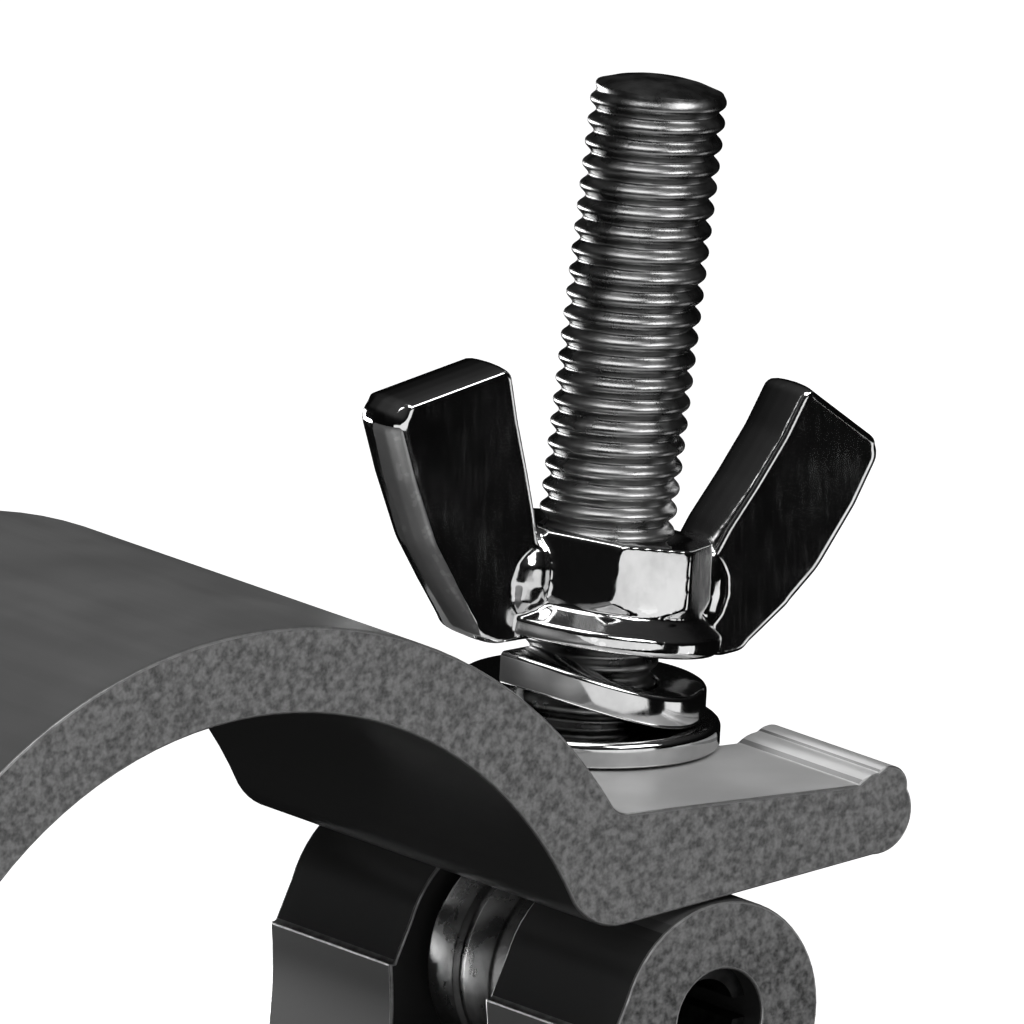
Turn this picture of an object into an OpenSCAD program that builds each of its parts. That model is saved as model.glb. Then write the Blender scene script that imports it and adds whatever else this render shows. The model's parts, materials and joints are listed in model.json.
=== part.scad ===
// Hinged half coupler for a round tube: two extruded jaws, a hinge pin, a swing
// bolt with a wing nut, and a captive bolt below for the bracket of a lamp.
// The tube's axis is Y, Z points up, and the origin is the centre of the tube.

/* [Jaws] */
// Diameter of the bore that closes on the tube
tube_d = 51; // [48:0.5:52]
// Length of the jaws along the tube
jaw_w = 32; // [30:1:40]
// Thickness of the arched walls
wall = 5; // [4.5:0.25:5.5]
// Radius of the round bosses that hold the two pins
boss_r = 7; // [6.75:0.25:7]
// Height of the two pins above the centre of the tube
pivot_z = 1.5; // [1:0.25:2]
// Gap between the upper jaw and the bosses of the lower jaw
split_gap = 0.2; // [0.2:0.1:0.5]

/* [Tab of the upper jaw] */
// Thickness of the tab above the swing pin
tab_t = 5.7; // [5:0.1:6]
// Reach of the tab beyond the swing pin
tab_reach = 14; // [13:0.5:15]
// Downward slope of the tab's top face, in degrees
tab_top_slope = 5; // [4:0.5:5]
// Upward slope of the tab's underside, in degrees
tab_under_slope = 2.2; // [1.5:0.1:2.5]
// Width of the open slot that the bolt swings into
fork_w = 9; // [8.6:0.1:9.5]

/* [Hinge] */
// Diameter of the two spring pins
pin_d = 6; // [5:0.5:6]
// Width of the upper jaw's hinge tongue
tongue_w = 10.6; // [9:0.1:11]

/* [Swing bolt] */
// Thread diameter of the swing bolt
bolt_d = 8; // [7.6:0.1:8]
// Length from the pin's centre to the bolt's end
bolt_l = 51.5; // [48:0.5:56]
// Outward lean of the closed bolt, in degrees
bolt_lean = 10; // [9:0.2:11]
// Width of the bolt's eye
eye_w = 7.8; // [7:0.1:8.2]

/* [Wing nuts] */
// Distance from the swing pin to the seat of the wing nut
nut_seat = 19.1; // [19.05:0.05:19.6]
// Span across the wings of the upper wing nut
wing_span = 34; // [30:1:36]
// Thickness of the wings
wing_t = 3.8; // [3:0.1:4]

/* [Base] */
// Distance from the tube's centre to the flat face of the base
base_z = 40; // [40:0.5:44]
// Width of the base
base_w = 36; // [34:1:40]
// Diameter of the captive mounting bolt
stud_d = 10; // [9:0.5:10]
// Length of the mounting bolt under its head
stud_l = 30; // [28:1:40]
// Gap left for a bracket between the base and the lower washer
bracket_gap = 3; // [2.5:0.5:6]

/* [Hidden] */
$fn = 96;

eps = 0.01;
overlap = 0.05;
far = 200;
bore_r = tube_d / 2;
outer_r = bore_r + wall;
pivot_x = bore_r + boss_r + 1;
pivot_r = norm([pivot_x, pivot_z]);
pivot_a = atan(pivot_z / pivot_x);

// angle between a pivot's direction and the shoulder that touches both boss and arch
shoulder_a = acos((outer_r - boss_r) / pivot_r);

// underside and top of the tab, as heights above the centre at x
function under_z(x) = pivot_z + boss_r + split_gap + (x - pivot_x) * tan(tab_under_slope);
function top_z(x) = under_z(pivot_x) + tab_t - (x - pivot_x) * tan(tab_top_slope);
function polar(r, a) = [r * cos(a), r * sin(a)];

root_fillet = 1.6;
heel_r = 4;
nose_r = 2.4;
lip_r = 1.3;
nose = [pivot_x + tab_reach - nose_r, under_z(pivot_x + tab_reach - nose_r) + nose_r];
lip = nose + [0.85, 1.35];
lip_start = lip[0] - 2.3;

// the fillet between arch and tab: its centre sits one radius off the arch and off the top face
root_a = asin((top_z(0) * cos(tab_top_slope) + root_fillet) / (outer_r + root_fillet)) - tab_top_slope;
root_c = polar(outer_r + root_fillet, root_a);
root_foot = root_c - root_fillet * [sin(tab_top_slope), cos(tab_top_slope)];

// the rounded heel between bore and underside: its centre sits one radius inside the metal
heel_a = asin((under_z(0) * cos(tab_under_slope) + heel_r) / (bore_r + heel_r)) + tab_under_slope;
heel_c = polar(bore_r + heel_r - overlap / 2, heel_a);
heel_foot = heel_c + heel_r * [sin(tab_under_slope), -cos(tab_under_slope)];

bore_play = 0.05;
pin_r = pin_d / 2 - 0.03;
pin_inset = 1.5;
pin_shell = 0.85;
slot_depth = boss_r + 0.6;
fork_x = pivot_x + 1.3;
tongue_gap = 0.2;
hinge_cut_x = 15;

shank_r = bolt_d / 2 - 0.05;
eye_r = boss_r - 0.2;
eye_chamfer = 0.7;
tip_chamfer = 0.8;

flat_t = 1.6;
flat_r = 8;
flat_hole_r = 4.2;
flat_at = 13.05;
spring_t = 2;
spring_w = 3.2;
spring_in_r = 4.15;
spring_rise = 2;
spring_at = 14.98;
spring_split_a = 200;

nut_base_r = 7.3;
nut_base_h = 1.6;
nut_hub_r = 5.8;
nut_h = 6;
wing_h = 14.8;

channel_w = 17.4;
head_w = 16.9;
head_h = 6.4;
floor_t = 7;
channel_z = -base_z + floor_t;
base_chamfer = 1;
stud_hole_r = stud_d / 2 + 0.5;
stud_r = stud_d / 2 - 0.05;
stud_scale = stud_d / bolt_d;
lower_flat_t = 2;
lower_flat_r = 10;
lower_flat_hole_r = 5.25;
lower_stack_gap = 0.05;
lower_spring_z = -base_z - bracket_gap - lower_flat_t - lower_stack_gap;
lower_nut_z = lower_spring_z - (spring_t + spring_rise) * stud_scale - 2 * lower_stack_gap;

// ---- placing helpers ----

// every child outline becomes a bar of the jaws' full length
module bars() {
    for (i = [0:$children - 1])
        rotate([90, 0, 0]) linear_extrude(jaw_w, center = true) children(i);
}

module tube_bore(radius, length) {
    rotate([90, 0, 0]) cylinder(r = radius, h = length, center = true);
}

module on_swing_bolt() {
    translate([pivot_x, 0, pivot_z]) rotate([0, bolt_lean, 0]) children();
}

// ---- outlines in the plane across the tube ----

// wedge from the centre that runs straight from the arch to a boss
module shoulder(pivot, a) {
    polygon([[0, 0], polar(outer_r - overlap, a), pivot + polar(boss_r - overlap, a), pivot]);
}

// small fairing that leads the bore up into a boss
module throat() {
    polygon([[bore_r - 1, pivot_z - 4], [bore_r - 0.2, pivot_z - 0.6],
             [pivot_x, pivot_z] + polar(boss_r - overlap, 150), [pivot_x + 1, pivot_z - 1]]);
}

module tab_outline() {
    polygon([heel_c, heel_foot, nose - [0, nose_r - overlap], nose, lip - [0.3, 0],
             lip + polar(lip_r - overlap, 100), [lip_start, top_z(lip_start)], root_foot,
             polar(outer_r - 1, root_a - 1)]);
    // the lower part of the heel's circle, which is taller than the tab is thick
    intersection() {
        translate(heel_c) circle(heel_r);
        square([far, heel_c[1] + 1.5]);
    }
    translate(nose) circle(nose_r);
    translate(lip) circle(lip_r);
}

module root_fillet_outline() {
    difference() {
        polygon([polar(outer_r - 0.5, root_a), root_c, root_foot, root_foot - [0, 0.5],
                 polar(outer_r - 2, root_a - 4)]);
        translate(root_c) circle(root_fillet + overlap / 2);
    }
}

module arch_outline(side) {
    intersection() {
        circle(outer_r);
        polygon(side > 0 ? [[-far, pivot_z - 0.5], [0, pivot_z - 0.5], heel_c * 1.2, [0, far], [-far, far]]
                         : [[-far, pivot_z + 0.3], [far, pivot_z + 0.3], [far, -far], [-far, -far]]);
    }
}

module boss_outline() {
    translate([pivot_x, pivot_z]) circle(boss_r);
}

module base_outline() {
    half = base_w / 2;
    polygon([[-half + base_chamfer, -base_z], [half - base_chamfer, -base_z],
             [half, -base_z + base_chamfer], [half, channel_z], polar(outer_r - overlap, -38), [0, 0],
             polar(outer_r - overlap, -142), [-half, channel_z], [-half, -base_z + base_chamfer]]);
}

// ---- small round parts ----

module spring_pin() {
    difference() {
        tube_bore(pin_r, jaw_w - 2 * pin_inset);
        tube_bore(pin_r - pin_shell, jaw_w);
        translate([0, -jaw_w / 2, -pin_shell * 0.75]) cube([pin_d, jaw_w, pin_shell * 1.5]);
    }
}

module flat_ring(outer, inner, t) {
    difference() {
        cylinder(r = outer, h = t);
        translate([0, 0, -eps]) cylinder(r = inner, h = t + 2 * eps);
    }
}

// one turn of square wire whose left-handed helix starts high at angle a0
module split_ring(inner, w, t, rise, a0) {
    steps = 72;
    turn = 352;
    lift = [for (i = [0:steps]) rise * (1 - i / steps)];
    ring = [for (i = [0:steps], corner = [[0, 0], [w, 0], [w, t], [0, t]])
        let (p = polar(inner + corner[0], a0 + turn * i / steps))
        [p[0], p[1], lift[i] + corner[1]]];
    sides = [for (i = [0:steps - 1], c = [0:3]) let (d = (c + 1) % 4)
        [4 * i + c, 4 * i + d, 4 * i + 4 + d, 4 * i + 4 + c]];
    polyhedron(points = ring, convexity = 4,
               faces = concat([[3, 2, 1, 0]], sides, [[for (c = [0:3]) 4 * steps + c]]));
}

module wing_outline() {
    tip = wing_span / 2;
    polygon([[4.9, 0.4], [nut_base_r + 1, 0.4], [tip - 5, 2.4], [tip - 2.7, 4.9], [tip - 1.3, 7.8],
             [tip, wing_h - 2.8], [tip - 5.5, wing_h], [nut_hub_r + 1, nut_h - 0.5], [4.9, nut_h - 0.5]]);
}

// a wing nut standing on z = 0, with its bore open for a thread of radius bore
module winged_nut(bore) {
    difference() {
        union() {
            cylinder(r = nut_base_r, h = nut_base_h);
            translate([0, 0, nut_base_h - eps])
                cylinder(r1 = nut_base_r - 0.3, r2 = nut_hub_r, h = nut_h - nut_base_h + eps);
            for (side = [0, 1]) mirror([side, 0, 0])
                rotate([90, 0, 0]) linear_extrude(wing_t, center = true) wing_outline();
        }
        translate([0, 0, -1]) cylinder(r = bore, h = wing_h + 2);
    }
}

// ---- sub-parts ----

module lower_jaw() {
    color("dimgray")
    difference() {
        union() {
            bars() {
                arch_outline(-1);
                base_outline();
            }
            for (side = [0, 1]) mirror([side, 0, 0]) bars() {
                shoulder([pivot_x, pivot_z], pivot_a - shoulder_a);
                boss_outline();
                throat();
            }
        }
        tube_bore(bore_r, jaw_w + 2);
        // slots between the ears, for the bolt's eye and for the hinge tongue
        translate([bore_r - 4, -fork_w / 2, pivot_z - slot_depth]) cube([far, fork_w, far]);
        translate([-far - bore_r + 4, -tongue_w / 2 - tongue_gap, pivot_z - slot_depth])
            cube([far, tongue_w + 2 * tongue_gap, far]);
        for (x = [-pivot_x, pivot_x]) translate([x, 0, pivot_z]) tube_bore(pin_d / 2, jaw_w + 2);
        // channel that keeps the mounting bolt's head from turning
        translate([-channel_w / 2, -jaw_w, channel_z]) cube([channel_w, 2 * jaw_w, base_z - bore_r + 3]);
        translate([0, 0, -base_z - 1]) cylinder(r = stud_hole_r, h = floor_t + 2);
    }
}

module upper_jaw() {
    color("gray")
    difference() {
        union() {
            bars() {
                arch_outline(1);
                tab_outline();
                root_fillet_outline();
            }
            mirror([1, 0, 0]) bars() {
                shoulder([pivot_x, pivot_z], pivot_a + shoulder_a);
                boss_outline();
            }
        }
        tube_bore(bore_r, jaw_w + 2);
        // the bolt's slot, open at the tab's tip
        translate([fork_x, 0, pivot_z]) cylinder(r = fork_w / 2, h = 30);
        translate([fork_x, -fork_w / 2, pivot_z]) cube([far, fork_w, 30]);
        // room for the lower jaw's two knuckles, one each side of the tongue
        for (side = [0, 1]) mirror([0, side, 0])
            translate([-far - hinge_cut_x, tongue_w / 2, -far + pivot_z + boss_r + split_gap])
                cube([far, far, far]);
        translate([-pivot_x, 0, pivot_z]) tube_bore(pin_d / 2 + bore_play, jaw_w);
    }
}

module hinge_pin() {
    color("silver") translate([-pivot_x, 0, pivot_z]) spring_pin();
}

module swing_pin() {
    color("silver") translate([pivot_x, 0, pivot_z]) spring_pin();
}

module swing_bolt() {
    color("darkgray") on_swing_bolt()
    difference() {
        union() {
            tube_bore(eye_r, eye_w - 2 * eye_chamfer);
            for (side = [0, 1]) mirror([0, side, 0])
                translate([0, eye_w / 2 - eye_chamfer, 0]) rotate([-90, 0, 0])
                    cylinder(r1 = eye_r, r2 = eye_r - eye_chamfer, h = eye_chamfer);
            cylinder(r = shank_r, h = bolt_l - tip_chamfer);
            translate([0, 0, bolt_l - tip_chamfer])
                cylinder(r1 = shank_r, r2 = shank_r - tip_chamfer, h = tip_chamfer);
        }
        tube_bore(pin_d / 2 + bore_play, eye_w + 1);
    }
}

// lies flat on the tab, so it stands a few degrees off square to the bolt
module flat_washer() {
    color("silver") on_swing_bolt() translate([0, 0, flat_at])
        rotate([0, tab_top_slope - bolt_lean, 0]) flat_ring(flat_r, flat_hole_r, flat_t);
}

module spring_washer() {
    color("silver") on_swing_bolt() translate([0, 0, spring_at])
        split_ring(spring_in_r, spring_w, spring_t, spring_rise, spring_split_a);
}

module wing_nut() {
    color("silver") on_swing_bolt() translate([0, 0, nut_seat]) winged_nut(bolt_d / 2);
}

module mounting_bolt() {
    color("darkgray") {
        translate([0, 0, channel_z]) rotate([0, 0, 30])
            cylinder(r = head_w / 2 / cos(30), h = head_h, $fn = 6);
        translate([0, 0, channel_z - stud_l + tip_chamfer])
            cylinder(r = stud_r, h = stud_l - tip_chamfer + eps);
        translate([0, 0, channel_z - stud_l])
            cylinder(r1 = stud_r - tip_chamfer, r2 = stud_r, h = tip_chamfer);
    }
}

module mounting_flat_washer() {
    color("silver") translate([0, 0, -base_z - bracket_gap - lower_flat_t])
        flat_ring(lower_flat_r, lower_flat_hole_r, lower_flat_t);
}

module mounting_spring_washer() {
    color("silver") translate([0, 0, lower_spring_z]) rotate([180, 0, 0]) scale(stud_scale)
        split_ring(spring_in_r, spring_w, spring_t, spring_rise, spring_split_a);
}

module mounting_wing_nut() {
    color("silver") translate([0, 0, lower_nut_z]) rotate([180, 0, 0]) scale(stud_scale)
        winged_nut(bolt_d / 2);
}

lower_jaw();
upper_jaw();
hinge_pin();
swing_pin();
swing_bolt();
flat_washer();
spring_washer();
wing_nut();
mounting_bolt();
mounting_flat_washer();
mounting_spring_washer();
mounting_wing_nut();
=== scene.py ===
"""Looks of the pipe clamp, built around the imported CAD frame.

Meshes are modelled in millimetres in their own simple frames, then placed in the row frame in metres.
"""

import json
import math

import bmesh
import bpy
from mathutils import Matrix, Vector


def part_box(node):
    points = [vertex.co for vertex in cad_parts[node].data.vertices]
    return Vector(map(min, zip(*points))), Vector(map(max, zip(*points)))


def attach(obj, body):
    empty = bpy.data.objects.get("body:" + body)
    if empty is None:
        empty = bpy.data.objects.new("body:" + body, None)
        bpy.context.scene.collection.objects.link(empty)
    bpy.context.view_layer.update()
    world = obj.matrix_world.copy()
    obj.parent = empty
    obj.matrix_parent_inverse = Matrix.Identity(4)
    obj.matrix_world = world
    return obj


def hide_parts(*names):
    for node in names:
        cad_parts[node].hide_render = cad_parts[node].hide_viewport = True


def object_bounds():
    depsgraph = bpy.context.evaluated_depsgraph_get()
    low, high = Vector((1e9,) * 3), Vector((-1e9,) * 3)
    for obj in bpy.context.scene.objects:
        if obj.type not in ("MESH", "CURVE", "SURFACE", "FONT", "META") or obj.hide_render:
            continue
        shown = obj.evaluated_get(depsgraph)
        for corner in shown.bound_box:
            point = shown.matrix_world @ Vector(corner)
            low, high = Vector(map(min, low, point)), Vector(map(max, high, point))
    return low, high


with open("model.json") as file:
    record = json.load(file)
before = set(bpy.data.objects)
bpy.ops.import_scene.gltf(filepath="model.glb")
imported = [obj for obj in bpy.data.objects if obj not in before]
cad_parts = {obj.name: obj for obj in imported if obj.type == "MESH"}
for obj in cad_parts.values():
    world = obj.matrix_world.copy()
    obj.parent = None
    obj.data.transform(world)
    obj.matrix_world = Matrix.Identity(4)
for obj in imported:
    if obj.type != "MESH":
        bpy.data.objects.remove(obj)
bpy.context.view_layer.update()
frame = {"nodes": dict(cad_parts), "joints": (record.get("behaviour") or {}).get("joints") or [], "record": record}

MM = 0.001
TAU = 2 * math.pi

# ---- what the frame says -------------------------------------------------------------------------

NODES = frame["nodes"]
JOINTS = {j["name"]: j for j in frame["joints"]}
MOUNTS = {m["name"]: m for m in frame["record"]["mounts"]}
BORE_R = MOUNTS["tube_seat"]["dims"]["r_mm"]
SWING_PIVOT = Vector(JOINTS["bolt_swing"]["pos_m"])
BOLT_AXIS = Vector(JOINTS["nut_travel"]["axis"]).normalized()
STUD_AXIS = Vector(JOINTS["mounting_nut_travel"]["axis"]).normalized()
BASE_CENTRE = Vector((0.0, 0.0, MOUNTS["base_face"]["pos_m"][2]))

# ---- sizes and greys -----------------------------------------------------------------------------

# base colours of the jaws: sawn end faces, outer skin, the tab's top face painted brighter as painted light, and
# the bore and slot walls painted dark as painted shade
JAW_FACE, JAW_SKIN, JAW_TAB_PAINTED_LIGHT, JAW_BORE_PAINTED_SHADE = 0.19, 0.19, 0.55, 0.035

# where the jaws' surfaces change from one kind to the next, as a start and an end in metres
END_FACE_Y = (0.0150, 0.0156)
TAB_X, TAB_Z = (0.0262, 0.0275), (0.0128, 0.0133)
# the heights over which the end faces go from painted shade, 0.7 of their grey at the bottom, to their full grey
FACE_PAINTED_SHADE_Z = (0.001, 0.012)

# the jaws' broken edges: how wide they are in millimetres, and the least turn in degrees that is broken
EDGE_BREAK, SHARP_EDGE = 0.16, 30

# the wings' outlines, as (distance from the bolt's axis, height above the seat) in millimetres
WING_FOOT = [(4.6, -0.1), (8.2, -0.75), (9.9, -0.3)]
WING_ROOT = [(6.2, 5.2), (4.6, 4.6)]
LEFT_BLADE = [(12.5, 2.4), (14.5, 4.7), (16.7, 8.3), (18.9, 12.5),
              (10.4, 15.6), (9.2, 12.5), (7.9, 9.6), (6.8, 7.0)]
RIGHT_BLADE = [(12.9, 2.4), (14.8, 4.7), (16.7, 8.4), (18.1, 12.2),
               (11.2, 15.6), (10.0, 12.5), (8.5, 9.6), (7.0, 7.0)]
WING_RADII = [0.1, 1.2, 2.0, 3.0, 5.0, 4.0, 1.4, 0.8, 6.0, 6.0, 4.0, 1.5, 0.1]
WING_HALF = 1.95

# the M8 set, in millimetres: thread pitch and radius, bore of the nut, section of the split washer
M8_PITCH, M8_RADIUS, NUT_BORE = 1.25, 3.92, 4.02
SPLIT_INNER, SPLIT_WIDTH, SPLIT_THICK, SPLIT_SPRING = 4.2, 2.9, 1.9, 2.55
FLAT_OUTER, FLAT_INNER, FLAT_THICK = 8.0, 4.2, 1.5

# the M10 set below: its own thread, and washers and nut scaled up from the M8 ones
M10_PITCH, M10_RADIUS, M10_FLAT_INNER = 1.5, 4.92, 5.25
M10_SCALE = 1.25
HEAD_HEIGHT = 6.4

# the closed clamp's loose fit: the split washer's raised end lifts one side of the nut in its thread's play
NUT_TILT = math.radians(3.0)
NUT_SHIFT = 0.05 * MM
BOLT_PLAY = 0.15 * MM

# turn of the hub's flats and of the split washer's raised end about their bolt
FLAT_TURN = math.radians(239.5)
SPLIT_START = math.radians(190)

# the tab's top face, which the flat washer lies on
TAB_SLOPE = math.radians(5.0)
TAB_NORMAL = Vector((math.sin(TAB_SLOPE), 0, math.cos(TAB_SLOPE)))


def axis_frame(origin, axis):
    """A frame in metres whose z runs along axis and whose y is the tube's direction."""
    z = axis.normalized()
    y = Vector((0, 1, 0))
    x = y.cross(z).normalized()
    turn = Matrix((x, y, z)).transposed().to_4x4()
    return Matrix.Translation(origin) @ turn


BOLT_FRAME = axis_frame(SWING_PIVOT, BOLT_AXIS)
STUD_FRAME = axis_frame(BASE_CENTRE, STUD_AXIS)


def local_span(node, place):
    """Lowest and highest corner of a node in a given frame, in millimetres."""
    back = place.inverted()
    points = [back @ v.co / MM for v in NODES[node].data.vertices]
    low = Vector(min(p[i] for p in points) for i in range(3))
    high = Vector(max(p[i] for p in points) for i in range(3))
    return low, high


# ---- mesh helpers --------------------------------------------------------------------------------


def tube_faces(rings, around):
    """Faces of a closed skin over stacked rings of points, capped at both ends."""
    faces = []
    for j in range(rings - 1):
        for k in range(around):
            n = (k + 1) % around
            faces.append((j * around + k, j * around + n, (j + 1) * around + n, (j + 1) * around + k))
    faces.append(tuple(range(around))[::-1])
    faces.append(tuple((rings - 1) * around + k for k in range(around)))
    return faces


def mesh_object(name, verts, faces):
    mesh = bpy.data.meshes.new(name)
    mesh.from_pydata([tuple(v) for v in verts], [], faces)
    mesh.validate()
    obj = bpy.data.objects.new(name, mesh)
    bpy.context.scene.collection.objects.link(obj)
    tidy_mesh(obj)
    return obj


def tidy_mesh(obj, weld=1e-4):
    bm = bmesh.new()
    bm.from_mesh(obj.data)
    bmesh.ops.remove_doubles(bm, verts=bm.verts, dist=weld)
    bmesh.ops.recalc_face_normals(bm, faces=bm.faces)
    bm.to_mesh(obj.data)
    bm.free()


def apply_modifiers(obj):
    bpy.context.view_layer.update()
    graph = bpy.context.evaluated_depsgraph_get()
    baked = bpy.data.meshes.new_from_object(obj.evaluated_get(graph))
    obj.modifiers.clear()
    obj.data = baked


def join(name, objects):
    verts, faces = [], []
    for obj in objects:
        start = len(verts)
        verts += [v.co.copy() for v in obj.data.vertices]
        faces += [[start + i for i in p.vertices] for p in obj.data.polygons]
        bpy.data.objects.remove(obj)
    return mesh_object(name, verts, faces)


def subtract(obj, cutter):
    cut = obj.modifiers.new("cut", "BOOLEAN")
    cut.operation = "DIFFERENCE"
    cut.solver = "EXACT"
    cut.object = cutter
    apply_modifiers(obj)
    bpy.data.objects.remove(cutter)


def shade(obj, sharp_angle):
    """Smooth shading that stays crisp at edges sharper than the angle, in degrees."""
    bm = bmesh.new()
    bm.from_mesh(obj.data)
    for face in bm.faces:
        face.smooth = True
    for edge in bm.edges:
        edge.smooth = not edge.is_manifold or edge.calc_face_angle(0) < math.radians(sharp_angle)
    bm.to_mesh(obj.data)
    bm.free()


def place(obj, matrix):
    """Moves a mesh modelled in millimetres to its place in the row frame, in metres."""
    obj.data.transform(matrix @ Matrix.Scale(MM, 4))
    obj.data.update()


def finish_piece(obj, node, body, slot, *materials):
    for material in materials:
        obj.data.materials.append(material)
    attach(obj, body)
    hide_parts(node)


def rounded(corners, radii, steps=5):
    """A closed outline whose corners are arcs: radii holds each corner's own radius."""
    out = []
    count = len(corners)
    for i, corner in enumerate(corners):
        c = Vector(corner)
        a = Vector(corners[i - 1]) - c
        b = Vector(corners[(i + 1) % count]) - c
        half = a.angle(b) / 2
        reach = min(radii[i] / math.tan(half), a.length * 0.49, b.length * 0.49)
        if reach < 1e-4:
            out.append(c)
            continue
        r = reach * math.tan(half)
        start, end = c + a.normalized() * reach, c + b.normalized() * reach
        centre = c + (a.normalized() + b.normalized()).normalized() * (r / math.sin(half))
        for k in range(steps + 1):
            mid = start.lerp(end, k / steps) - centre
            out.append(centre + mid.normalized() * r)
    return out


def smooth(t):
    """Eases from 0 to 1 as t does."""
    t = min(1.0, max(0.0, t))
    return t * t * (3 - 2 * t)


def lathe(name, profile, steps=128):
    """Turns a closed (radius, height) outline about z."""
    count = len(profile)
    angles = [TAU * k / steps for k in range(steps)]
    verts = [(r * math.cos(a), r * math.sin(a), h) for a in angles for r, h in profile]
    faces = []
    for k in range(steps):
        here, there = k * count, (k + 1) % steps * count
        for i in range(count):
            j = (i + 1) % count
            faces.append((here + i, here + j, there + j, there + i))
    return mesh_object(name, verts, faces)


def threaded_rod(name, radius, pitch, start, end, thread_from, crown):
    """A closed rod along z: a right-handed, softly rounded thread and a domed end that tops out at end."""
    around, per_pitch = 96, 14
    depth = 0.34 * pitch
    collar = end - crown
    rows = round((collar - start) / pitch * per_pitch)
    angles = [TAU * k / around for k in range(around)]

    def radius_at(angle, z):
        phase = (z / pitch - angle / TAU) % 1.0
        groove = (0.5 + 0.5 * math.cos(TAU * phase)) ** 1.25
        runs_in = min(1.0, max(0.0, (z - thread_from) / pitch))
        runs_out = min(1.0, max(0.0, (collar - z) / (0.6 * pitch)))
        fade = runs_in * runs_out
        last = max(0.0, 1 - (collar - z) / (0.35 * pitch))
        worn = 0.04 * radius * last**2 + 0.03 * radius * (1 - fade) * (z > thread_from)
        return radius - depth * groove * fade - worn

    heights = [start + (collar - start) * j / rows for j in range(rows + 1)]
    verts = []
    for z in heights:
        for a in angles:
            r = radius_at(a, z)
            verts.append((r * math.cos(a), r * math.sin(a), z))
    dome = [(0.88, 0.1), (0.8, 0.28), (0.68, 0.55), (0.5, 0.8), (0.25, 0.95)]
    for share, lift in dome:
        r, z = radius * share, collar + crown * lift
        verts += [(r * math.cos(a), r * math.sin(a), z) for a in angles]
    rings = len(heights) + len(dome)
    faces = tube_faces(rings, around)[:-1]
    top, tip = (rings - 1) * around, len(verts)
    verts.append((0, 0, end))
    faces += [(top + k, top + (k + 1) % around, tip) for k in range(around)]
    return mesh_object(name, verts, faces)


# ---- procedural materials ------------------------------------------------------------------------


class Nodes:
    """Short names for building a material's node tree."""

    def __init__(self, name):
        self.material = bpy.data.materials.new(name)
        self.material.use_nodes = True
        self.tree = self.material.node_tree
        self.shader = self.tree.nodes["Principled BSDF"]
        self.normal = self.add("ShaderNodeNewGeometry").outputs["True Normal"]

    def add(self, kind, **inputs):
        node = self.tree.nodes.new(kind)
        for key, value in inputs.items():
            self.put(node.inputs[key.replace("_", " ")], value)
        return node

    def put(self, socket, value):
        if isinstance(value, bpy.types.NodeSocket):
            self.tree.links.new(value, socket)
        else:
            socket.default_value = value

    def set(self, **inputs):
        for key, value in inputs.items():
            self.put(self.shader.inputs[key.replace("_", " ")], value)

    def maths(self, operation, a, b=0.0, clamp=False):
        node = self.tree.nodes.new("ShaderNodeMath")
        node.operation = operation
        node.use_clamp = clamp
        self.put(node.inputs[0], a)
        self.put(node.inputs[1], b)
        return node.outputs[0]

    def noise(self, scale, detail=3.0, rough=0.5, at=None):
        node = self.add("ShaderNodeTexNoise", Scale=scale, Detail=detail, Roughness=rough)
        self.put(node.inputs["Vector"], at or self.object_point())
        return node.outputs["Fac"]

    def object_point(self):
        if not hasattr(self, "_object"):
            self._object = self.add("ShaderNodeTexCoord").outputs["Object"]
        return self._object

    def stretched(self, x, y, z):
        node = self.tree.nodes.new("ShaderNodeMapping")
        self.put(node.inputs["Vector"], self.object_point())
        node.inputs["Scale"].default_value = (x, y, z)
        return node.outputs["Vector"]

    def split(self, vector):
        node = self.add("ShaderNodeSeparateXYZ")
        self.put(node.inputs[0], vector)
        return node.outputs

    def ramp(self, value, low, high, out_low=0.0, out_high=1.0):
        node = self.add("ShaderNodeMapRange")
        node.interpolation_type = "SMOOTHSTEP"
        for socket, number in zip(node.inputs, (value, low, high, out_low, out_high)):
            self.put(socket, number)
        return node.outputs[0]

    def mix(self, share, a, b):
        node = self.tree.nodes.new("ShaderNodeMix")
        self.put(node.inputs["Factor"], share)
        self.put(node.inputs[2], a)
        self.put(node.inputs[3], b)
        return node.outputs[0]

    def grey(self, value):
        node = self.tree.nodes.new("ShaderNodeCombineColor")
        for i in range(3):
            self.put(node.inputs[i], value)
        return node.outputs[0]

    def bump(self, height, strength, distance):
        node = self.add("ShaderNodeBump", Strength=strength, Distance=distance, Height=height)
        return node.outputs["Normal"]

    def wear(self, low, high):
        """0 on flats and in hollows, 1 on the convex edges of a dense mesh."""
        return self.ramp(self.add("ShaderNodeNewGeometry").outputs["Pointiness"], low, high)


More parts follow.
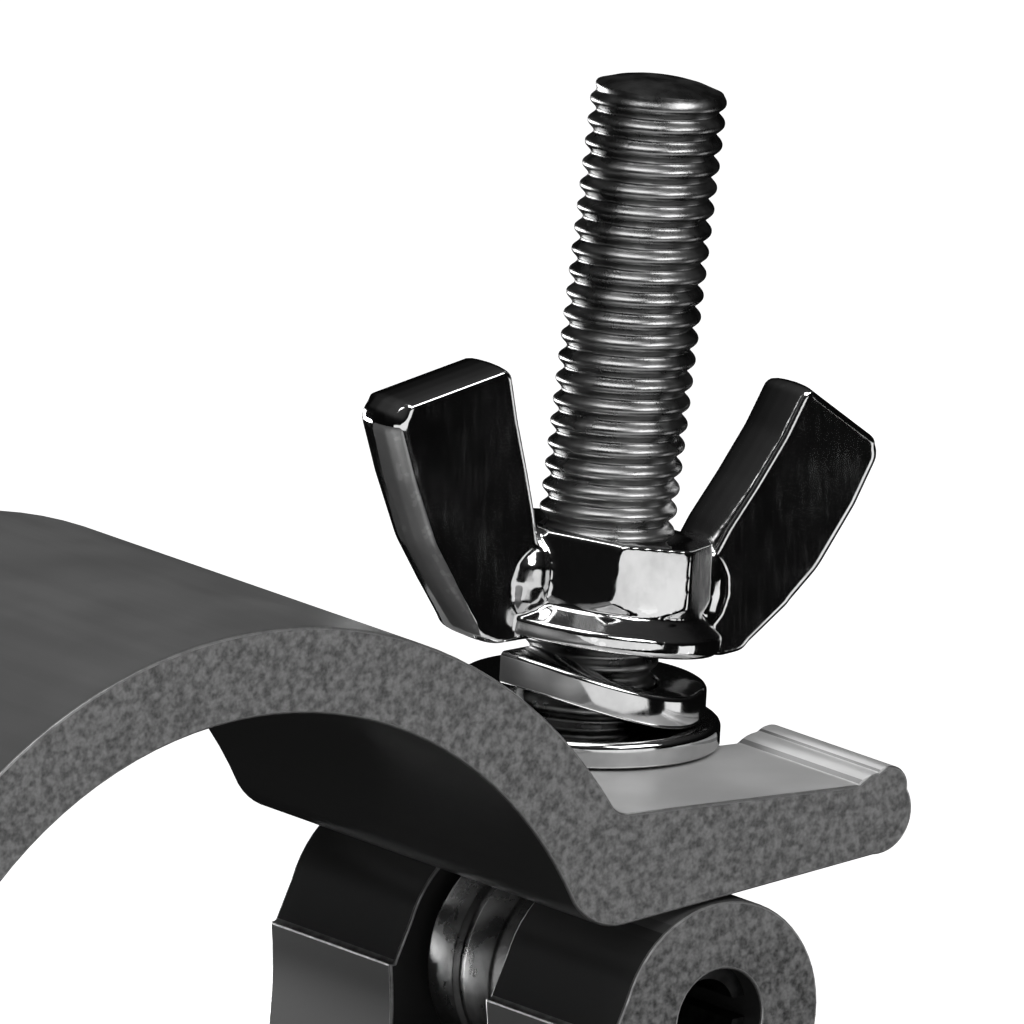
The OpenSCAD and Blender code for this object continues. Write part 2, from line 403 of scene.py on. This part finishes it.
def jaw_materials():
    """Extruded aluminium and its worn edges: satin outside, coarse end faces with painted shade towards the
    bottom, painted shade in the bore and slot walls, painted light on the tab's top.
    """
    n = Nodes("jaw_aluminium")
    normal = n.split(n.normal)
    point = n.split(n.object_point())
    across = n.ramp(n.maths("ABSOLUTE", normal["Y"]), 0.90, 0.97)
    end_face = n.maths("MULTIPLY", across, n.ramp(n.maths("ABSOLUTE", point["Y"]), *END_FACE_Y))
    slot_wall = n.maths("SUBTRACT", across, end_face)
    toward_axis = n.maths("ADD", n.maths("MULTIPLY", normal["X"], point["X"]),
                          n.maths("MULTIPLY", normal["Z"], point["Z"]))
    bore = n.ramp(toward_axis, -0.2 * BORE_R * MM, -0.5 * BORE_R * MM)
    tab = n.maths("MULTIPLY", n.ramp(point["X"], *TAB_X), n.ramp(point["Z"], *TAB_Z))
    tab = n.maths("MULTIPLY", tab, n.ramp(normal["Z"], 0.2, 0.6))

    blotch = n.noise(2350, 1.0, 0.4)
    grain = n.noise(5000, 1.0, 0.5)
    cloud = n.noise(160, 3.0, 0.5)
    streak = n.noise(900, 3.0, 0.6, n.stretched(1, 0.03, 1))

    speckle = n.maths("ADD", n.ramp(blotch, 0.2, 0.8, -0.085, 0.085), n.ramp(grain, 0.2, 0.8, -0.035, 0.035))
    # painted shade: the end faces are painted darker towards the bottom, standing in for less light falling there
    face_painted_shade = n.ramp(point["Z"], *FACE_PAINTED_SHADE_Z, 0.7, 1.0)
    face_grey = n.maths("ADD", n.maths("MULTIPLY", face_painted_shade, JAW_FACE), speckle)
    skin_grey = n.maths("ADD", n.ramp(cloud, 0.3, 0.7, JAW_SKIN - 0.01, JAW_SKIN + 0.012),
                        n.ramp(streak, 0.3, 0.7, -0.008, 0.008))
    # painted light: the tab's upward top face gets a much lighter grey, standing in for the light that falls on it
    skin_grey = n.mix(tab, skin_grey, n.ramp(cloud, 0.3, 0.7, JAW_TAB_PAINTED_LIGHT - 0.04, JAW_TAB_PAINTED_LIGHT + 0.04))
    # painted shade: the bore and the slot walls get a near-black grey in place of the shadow that falls inside
    # them
    skin_grey = n.mix(n.maths("MAXIMUM", bore, slot_wall), skin_grey, JAW_BORE_PAINTED_SHADE)
    value = n.mix(end_face, skin_grey, face_grey)
    roughness = n.mix(end_face, n.ramp(cloud, 0.2, 0.8, 0.36, 0.44), n.ramp(blotch, 0.3, 0.7, 0.62, 0.5))
    roughness = n.mix(bore, roughness, 0.3)
    height = n.mix(end_face, n.maths("MULTIPLY", streak, 0.15),
                   n.maths("ADD", blotch, n.maths("MULTIPLY", grain, 0.4)))
    n.set(Base_Color=n.grey(value), Metallic=n.mix(end_face, 0.4, 0.15), Roughness=roughness,
          Normal=n.bump(height, 0.35, 0.00012))

    e = Nodes("jaw_worn_edge")
    nick = e.noise(900, 3.0, 0.6)
    e.set(Base_Color=e.grey(e.ramp(nick, 0.35, 0.65, 0.28, 0.46)), Metallic=0.85,
          Roughness=e.ramp(nick, 0.3, 0.7, 0.42, 0.3), Normal=e.bump(nick, 0.3, 0.0001))
    return n.material, e.material


def plated_material():
    """Bright zinc plate: mirror-like, with faint ripples, drawn scratches and duller hollows."""
    n = Nodes("bright_zinc")
    ripple = n.noise(420, 2.0, 0.5)
    scratch = n.noise(2600, 4.0, 0.7, n.stretched(1, 1, 0.12))
    stain = n.noise(260, 4.0, 0.6)
    rubbed = n.maths("MULTIPLY", n.wear(0.52, 0.6), 0.15)
    value = n.maths("ADD", n.ramp(stain, 0.35, 0.7, 0.7, 0.56), rubbed, clamp=True)
    roughness = n.maths("ADD", n.ramp(stain, 0.3, 0.75, 0.06, 0.12), n.ramp(scratch, 0.45, 0.75, 0, 0.05))
    height = n.maths("ADD", n.maths("MULTIPLY", ripple, 0.4), n.maths("MULTIPLY", scratch, 0.1))
    n.set(Base_Color=n.grey(value), Metallic=1.0, Roughness=roughness, Normal=n.bump(height, 0.2, 0.0001))
    return n.material


def thread_material():
    """Rolled thread: darker, oily steel with bright crests."""
    n = Nodes("bolt_steel")
    stain = n.noise(500, 4.0, 0.6)
    fine = n.noise(5000, 3.0, 0.6)
    crests = n.maths("MULTIPLY", n.wear(0.5, 0.62), 0.15)
    value = n.maths("ADD", n.ramp(stain, 0.3, 0.7, 0.22, 0.31), crests, clamp=True)
    n.set(Base_Color=n.grey(value), Metallic=1.0, Roughness=n.ramp(stain, 0.3, 0.7, 0.24, 0.36),
          Normal=n.bump(fine, 0.2, 0.00005))
    return n.material


def pin_material():
    """Blackened spring steel."""
    n = Nodes("pin_steel")
    stain = n.noise(700, 4.0, 0.6)
    n.set(Base_Color=n.grey(n.ramp(stain, 0.3, 0.7, 0.03, 0.07)), Metallic=1.0,
          Roughness=n.ramp(stain, 0.3, 0.7, 0.3, 0.45), Normal=n.bump(stain, 0.2, 0.00005))
    return n.material


# ---- pieces --------------------------------------------------------------------------------------


def refined_jaw(name, node, body, skin, edge):
    """The CAD jaw with its flat faces merged, its edges broken, and shading that follows its true curves."""
    obj = bpy.data.objects.new(name, NODES[node].data.copy())
    bpy.context.scene.collection.objects.link(obj)
    obj.data.materials.clear()
    obj.data.transform(Matrix.Scale(1 / MM, 4))
    bm = bmesh.new()
    bm.from_mesh(obj.data)
    bmesh.ops.remove_doubles(bm, verts=bm.verts, dist=1e-3)
    bmesh.ops.dissolve_limit(bm, angle_limit=math.radians(0.5), verts=bm.verts, edges=bm.edges)
    sharp = [e for e in bm.edges if e.is_manifold and e.calc_face_angle(0) > math.radians(SHARP_EDGE)]
    bmesh.ops.bevel(bm, geom=sharp, offset=EDGE_BREAK, offset_type="OFFSET", segments=2, profile=0.5,
                    affect="EDGES", clamp_overlap=True, material=1)
    bmesh.ops.recalc_face_normals(bm, faces=bm.faces)
    bm.to_mesh(obj.data)
    bm.free()
    for old_shading in ("custom_normal", "sharp_face", "sharp_edge"):
        attribute = obj.data.attributes.get(old_shading)
        if attribute:
            obj.data.attributes.remove(attribute)
    shade(obj, 40)
    place(obj, Matrix.Identity(4))
    weighted = obj.modifiers.new("even_normals", "WEIGHTED_NORMAL")
    weighted.keep_sharp = True
    finish_piece(obj, node, body, "jaw_aluminium", skin, edge)


def split_ring(name, inner, width, thick, spring):
    """One turn of square wire with rounded corners, lying flat but for the end that springs up."""
    steps, turn, bend = 140, math.radians(350), math.radians(112)
    corner = 0.3
    section = rounded([(0, 0), (width, 0), (width, thick), (0, thick)], [corner] * 4, 4)
    verts = []
    for k in range(steps + 1):
        angle = turn * k / steps
        lift = spring * (1 - smooth(angle / bend))
        angle += SPLIT_START
        verts += [
            ((inner + w) * math.cos(angle), (inner + w) * math.sin(angle), lift + h)
            for w, h in section
        ]
    return mesh_object(name, verts, tube_faces(steps + 1, len(section)))


def flat_ring(name, outer, inner, thick):
    """A stamped washer: rolled upper rims and a small burr below."""
    corners = [(inner, 0), (outer, 0), (outer, thick), (inner, thick)]
    return lathe(name, rounded(corners, [0.12, 0.15, 0.45, 0.3], 5))


def wing(side):
    """One forged wing: its long outer edge is round, its inner edge and top nearly flat."""
    blade = LEFT_BLADE if side < 0 else RIGHT_BLADE
    edge = rounded(WING_FOOT + blade + WING_ROOT, WING_RADII, 4)
    count = len(edge)
    layers = [-1, -0.93, -0.75, -0.45, 0, 0.45, 0.75, 0.93, 1]
    verts = []
    for layer in layers:
        tuck = 1 - math.sqrt(1 - (0.98 * layer) ** 2)
        for i, p in enumerate(edge):
            along = (edge[(i + 1) % count] - edge[i - 1]).normalized()
            inward = Vector((-along.y, along.x))
            outer_side = smooth((-inward.x - 0.2) / 0.7) * smooth((p.x - 8.0) / 4.0)
            q = p + inward * tuck * (0.3 + 0.75 * outer_side)
            verts.append((side * q.x, layer * WING_HALF, q.y))
    return mesh_object("wing", verts, tube_faces(len(layers), count))


def root_ridge(side, front):
    """A forged ridge that blends a wing's root into the hub."""
    radius, half = 2.3, 3.1
    centre = (6.2 * side, 0.35 * front, 3.0)
    turns = [math.radians(a) for a in range(-80, 81, 20)]
    arc = [(radius * math.cos(a), half * math.sin(a)) for a in turns]
    ridge = lathe("ridge", [(0.01, -half)] + arc + [(0.01, half)], 24)
    ridge.data.transform(Matrix.Translation(centre))
    return ridge


def hub(height):
    """Eight flats, undercut by a turned chamfer, on a thin round flange."""
    steps, levels = 128, 48
    eighth = TAU / 8
    flange_r, flange_h, flange_top, flare_slope = 7.4, 1.0, 2.0, 1.35
    burr, burr_h = 0.25, 0.3
    flats_r, flats_taper = 6.3, 0.11
    undercut_r, undercut_from, undercut_slope = 6.05, 2.15, 0.7
    top_r, top_slope = 5.95, 0.9

    def radius_at(angle, h):
        if h < flange_h:
            return flange_r - burr * max(0.0, burr_h - h) / burr_h
        to_flat = (angle - FLAT_TURN) % eighth - eighth / 2
        flats = (flats_r - flats_taper * h) / math.cos(to_flat)
        undercut = undercut_r + max(0.0, h - undercut_from) * undercut_slope
        top = top_r + (height - h) * top_slope
        body = min(flats, undercut, top)
        flare = flange_r - (h - flange_h) * flare_slope
        return max(body, flare) if h < flange_top else body

    angles = [TAU * k / steps for k in range(steps)]
    heights = [height * j / levels for j in range(levels + 1)]
    verts = []
    for h in heights:
        for a in angles:
            r = radius_at(a, h)
            verts.append((r * math.cos(a), r * math.sin(a), h))
    return mesh_object("hub", verts, tube_faces(len(heights), steps))


def winged_nut(name, scale):
    """A forged wing nut standing on z = 0: its parts are fused, softened like a casting, then bored."""
    height, bore = 6.1, NUT_BORE
    ridges = [root_ridge(side, front) for side in (-1, 1) for front in (-1, 1)]
    nut = join(name, [hub(height), wing(-1), wing(1)] + ridges)
    fuse = nut.modifiers.new("fuse", "REMESH")
    fuse.mode = "VOXEL"
    fuse.voxel_size = 0.11
    soften = nut.modifiers.new("soften", "SMOOTH")
    soften.factor = 0.5
    soften.iterations = 7
    thin = nut.modifiers.new("thin", "DECIMATE")
    thin.ratio = 0.4
    apply_modifiers(nut)
    countersunk = [
        (0.01, -2), (bore + 1.2, -2), (bore + 0.9, -0.3), (bore, 0.6),
        (bore, height - 0.6), (bore + 0.7, height + 0.2), (bore + 0.9, height + 3), (0.01, height + 3),
    ]
    subtract(nut, lathe("bore_tool", countersunk, 96))
    tidy_mesh(nut, 1e-3)
    nut.data.transform(Matrix.Scale(scale, 4))
    shade(nut, 50)
    return nut


def eye(name, radius, bore, width):
    """The bolt's forged eye, turned about the pin: crowned rim, broken edges, a groove left by the die."""
    half = width / 2
    profile = rounded(
        [(bore, -half + 0.2), (bore + 0.3, -half), (radius - 1.0, -half), (radius - 0.1, -half + 1.0),
         (radius - 0.05, -0.55), (radius - 0.3, -0.2), (radius - 0.3, 0.2), (radius - 0.05, 0.55),
         (radius - 0.1, half - 1.0), (radius - 1.0, half), (bore + 0.3, half), (bore, half - 0.2)],
        [0.1, 0.1, 0.6, 0.6, 0.15, 0.1, 0.1, 0.15, 0.6, 0.6, 0.1, 0.1], 3)
    obj = lathe(name, profile, 96)
    obj.data.transform(Matrix.Rotation(math.pi / 2, 4, "X"))
    return obj


def build_swing_bolt(material):
    """The eye bolt: its size is read from the frame, its thread and eye are modelled here."""
    low, high = local_span("swing_bolt", BOLT_FRAME)
    eye_r, width = -low.z, high.y - low.y
    pin_play = 0.2
    bore = local_span("swing_pin", BOLT_FRAME)[1].x + pin_play
    shank_from, thread_from, crown = 4.6, 11.0, 0.6
    rod = threaded_rod("rod", M8_RADIUS, M8_PITCH, shank_from, high.z, thread_from, crown)
    bolt = join("swing_bolt_threaded", [rod, eye("eye", eye_r, bore, width)])
    shade(bolt, 50)
    place(bolt, BOLT_FRAME @ Matrix.Translation((BOLT_PLAY, 0, 0)))
    finish_piece(bolt, "swing_bolt", "swing_bolt", "bolt_steel", material)


def build_bolt_stack(zinc):
    """The washers on the tab and the wing nut above them, each a little off true as on a worn clamp."""
    seat = local_span("wing_nut", BOLT_FRAME)[0].z
    nut = winged_nut("wing_nut_forged", 1.0)
    seated = BOLT_FRAME @ Matrix.Translation((NUT_SHIFT, 0, seat * MM))
    place(nut, seated @ Matrix.Rotation(NUT_TILT, 4, "Y"))
    finish_piece(nut, "wing_nut", "wing_nut", "plated_steel", zinc)

    low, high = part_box("flat_washer")
    washer_half, gap = 0.8, 0.02
    to_underside = Matrix.Translation((BOLT_PLAY, 0, -washer_half * MM))
    on_tab = axis_frame((low + high) / 2, TAB_NORMAL) @ to_underside
    washer = flat_ring("flat_washer_stamped", FLAT_OUTER, FLAT_INNER, FLAT_THICK)
    shade(washer, 50)
    place(washer, on_tab)
    finish_piece(washer, "flat_washer", "bolt_washers", "plated_steel", zinc)

    ring = split_ring("spring_washer_split", SPLIT_INNER, SPLIT_WIDTH, SPLIT_THICK, SPLIT_SPRING)
    shade(ring, 50)
    place(ring, on_tab @ Matrix.Translation((0, 0, (FLAT_THICK + gap) * MM)))
    finish_piece(ring, "spring_washer", "bolt_washers", "plated_steel", zinc)


def hex_head(name, across, height):
    """A hexagon on a thin round washer face, whose top corners are turned off at 30 degrees."""
    steps, face_h = 120, 0.4
    face_r, top_r = across / 2 - 0.4, across / 2 * 0.97

    def side(angle):
        return across / 2 / math.cos((angle + math.pi / 6) % (math.pi / 3) - math.pi / 6)

    def turned_off(reach):
        return max(0.0, reach - top_r) * math.tan(math.radians(30))

    angles = [TAU * k / steps for k in range(steps)]
    rings = [
        [(face_r, 0.0) for _ in angles],
        [(face_r, face_h) for _ in angles],
        [(side(a), face_h) for a in angles],
        [(side(a), height - turned_off(side(a))) for a in angles],
        [(top_r, height) for _ in angles],
    ]
    verts = [(r * math.cos(a), r * math.sin(a), z) for ring in rings for a, (r, z) in zip(angles, ring)]
    return mesh_object(name, verts, tube_faces(len(rings), steps))


def build_mounting(zinc, steel):
    """The bolt held in the base, and the washers and wing nut on it."""
    low, high = local_span("mounting_bolt", STUD_FRAME)
    shank_from = low.z + HEAD_HEIGHT
    head = hex_head("head", 2 * high.x, HEAD_HEIGHT)
    head.data.transform(Matrix.Translation((0, 0, shank_from)) @ Matrix.Rotation(math.pi, 4, "X"))
    into_head, plain_shank, crown = 0.5, 1.0, 0.75
    thread_from = shank_from + plain_shank
    rod = threaded_rod("rod", M10_RADIUS, M10_PITCH, shank_from - into_head, high.z, thread_from, crown)
    bolt = join("mounting_bolt_threaded", [rod, head])
    shade(bolt, 35)
    place(bolt, STUD_FRAME)
    finish_piece(bolt, "mounting_bolt", "lower_jaw", "bolt_steel", steel)

    seat = local_span("mounting_wing_nut", STUD_FRAME)[0].z
    nut = winged_nut("mounting_wing_nut_forged", M10_SCALE)
    place(nut, STUD_FRAME @ Matrix.Translation((0, 0, seat * MM)))
    finish_piece(nut, "mounting_wing_nut", "mounting_nut", "plated_steel", zinc)

    low, high = local_span("mounting_spring_washer", STUD_FRAME)
    inner, width, thick = (M10_SCALE * size for size in (SPLIT_INNER, SPLIT_WIDTH, SPLIT_THICK))
    ring = split_ring("mounting_spring_washer_split", inner, width, thick, high.z - low.z - thick)
    shade(ring, 50)
    place(ring, STUD_FRAME @ Matrix.Translation((0, 0, low.z * MM)))
    finish_piece(ring, "mounting_spring_washer", "mounting_washers", "plated_steel", zinc)

    low, high = local_span("mounting_flat_washer", STUD_FRAME)
    washer = flat_ring("mounting_flat_washer_stamped", high.x, M10_FLAT_INNER, high.z - low.z)
    shade(washer, 50)
    place(washer, STUD_FRAME @ Matrix.Translation((0, 0, low.z * MM)))
    finish_piece(washer, "mounting_flat_washer", "mounting_washers", "plated_steel", zinc)


def build_pins(material):
    """The pins keep their CAD meshes."""
    for node in ("hinge_pin", "swing_pin"):
        NODES[node].data.materials.clear()
        NODES[node].data.materials.append(material)


# ---- studio --------------------------------------------------------------------------------------

# what the softboxes point at: the bolt set, and a spot lower down for the wide panel
BOLT_SET, BELOW_SET = Vector((0.02, 0.0, 0.02)), Vector((0.02, 0.0, -0.02))

# name, azimuth, elevation, distance, width, height, watts, target
SOFTBOXES = [
    ("front_panel", -25.5, 0, 0.34, 0.9, 0.19, 0.58, BELOW_SET),
    ("low_left", -62, -38, 0.35, 0.3, 0.12, 0.1, BOLT_SET),
    ("low_right", 57, -18, 0.35, 0.12, 0.14, 0.06, BOLT_SET),
    ("front_high", 24, 44, 0.8, 0.5, 0.32, 2.9, BOLT_SET),
    ("overhead", -60, 82, 0.7, 0.45, 0.45, 2.6, BOLT_SET),
    ("back", -168, -9, 0.8, 0.5, 0.18, 3.5, BOLT_SET),
]


def area_light(name, azimuth, elevation, distance, width, height, watts, target):
    """A softbox seen from the target at that azimuth (0 is -Y, 90 is +X) and elevation."""
    a, e = math.radians(azimuth), math.radians(elevation)
    out = Vector((math.sin(a) * math.cos(e), -math.cos(a) * math.cos(e), math.sin(e)))
    data = bpy.data.lights.new(name, "AREA")
    data.shape = "RECTANGLE"
    data.size, data.size_y = width, height
    data.energy = watts
    light = bpy.data.objects.new(name, data)
    light.location = target + out * distance
    light.rotation_mode = "QUATERNION"
    light.rotation_quaternion = out.to_track_quat("Z", "Y")
    light.visible_camera = False
    bpy.context.scene.collection.objects.link(light)


def build_world():
    """White behind the object; what the metal reflects is a dark room with a pale ceiling."""
    world = bpy.data.worlds.new("studio")
    bpy.context.scene.world = world
    world.use_nodes = True
    tree = world.node_tree
    tree.nodes.clear()
    out = tree.nodes.new("ShaderNodeOutputWorld")
    mix = tree.nodes.new("ShaderNodeMixShader")
    seen = tree.nodes.new("ShaderNodeBackground")
    seen.inputs["Color"].default_value = (1, 1, 1, 1)
    lit = tree.nodes.new("ShaderNodeBackground")
    path = tree.nodes.new("ShaderNodeLightPath")
    coord = tree.nodes.new("ShaderNodeTexCoord")
    split = tree.nodes.new("ShaderNodeSeparateXYZ")
    ramp = tree.nodes.new("ShaderNodeMapRange")
    ramp.interpolation_type = "SMOOTHSTEP"
    low, high, room, ceiling = 0.15, 0.95, 0.003, 0.05
    for socket, number in zip(ramp.inputs[1:5], (low, high, room, ceiling)):
        socket.default_value = number
    link = tree.links.new
    link(coord.outputs["Generated"], split.inputs[0])
    link(split.outputs["Z"], ramp.inputs[0])
    link(ramp.outputs[0], lit.inputs["Color"])
    link(path.outputs["Is Camera Ray"], mix.inputs[0])
    link(lit.outputs[0], mix.inputs[1])
    link(seen.outputs[0], mix.inputs[2])
    link(mix.outputs[0], out.inputs["Surface"])


def build_floor():
    """A pale floor under the lower nut's lowest place. The camera sees it, but no light comes off it."""
    travel = JOINTS["mounting_nut_travel"]["range_m"][1]
    clearance, half = 0.0002, 6.0
    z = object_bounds()[0].z - travel - clearance
    floor = mesh_object("floor", [(-half, -half, z), (half, -half, z), (half, half, z), (-half, half, z)],
                        [(0, 1, 2, 3)])
    n = Nodes("floor")
    n.set(Base_Color=n.grey(n.ramp(n.noise(3.0, 2.0, 0.5), 0.2, 0.8, 0.64, 0.68)), Roughness=0.9,
          Emission_Color=(1, 1, 1, 1), Emission_Strength=0.9)
    n.shader.inputs["Specular IOR Level"].default_value = 0.0
    floor.data.materials.append(n.material)
    floor.visible_diffuse = False
    floor.visible_glossy = False
    floor.visible_shadow = False


def build_camera():
    """The photograph's direction and frame: from the left, above and close, on the clamp's upper right."""
    azimuth, elevation, roll = math.radians(-36.03), math.radians(16.65), math.radians(1.26)
    distance, picture_width = 2.002, 0.05803
    aim_right, aim_up = 0.02453, 0.03300
    back = Vector((math.sin(azimuth) * math.cos(elevation), -math.cos(azimuth) * math.cos(elevation),
                   math.sin(elevation)))
    turn = back.to_track_quat("Z", "Y").to_matrix() @ Matrix.Rotation(-roll, 3, "Z")
    right, up = turn.col[0], turn.col[1]
    spot = back * distance
    aim = right * aim_right + up * aim_up
    look = (spot - aim).normalized()
    level = (right - look * right.dot(look)).normalized()
    rotation = Matrix((level, look.cross(level), look)).transposed()
    data = bpy.data.cameras.new("camera")
    data.sensor_width = 36.0
    data.lens = data.sensor_width * (spot - aim).length / picture_width
    data.clip_start, data.clip_end = 0.1, 50
    camera = bpy.data.objects.new("camera", data)
    camera.matrix_world = Matrix.Translation(spot) @ rotation.to_4x4()
    bpy.context.scene.collection.objects.link(camera)
    bpy.context.scene.camera = camera


def build_studio():
    for softbox in SOFTBOXES:
        area_light(*softbox)
    build_world()
    build_floor()
    build_camera()
    bpy.context.scene.view_settings.view_transform = "Standard"


zinc = plated_material()
steel = thread_material()
jaw_skin, jaw_edge = jaw_materials()
refined_jaw("upper_jaw_finished", "upper_jaw", "upper_jaw", jaw_skin, jaw_edge)
refined_jaw("lower_jaw_finished", "lower_jaw", "lower_jaw", jaw_skin, jaw_edge)
build_pins(pin_material())
build_swing_bolt(steel)
build_bolt_stack(zinc)
build_mounting(zinc, steel)
build_studio()
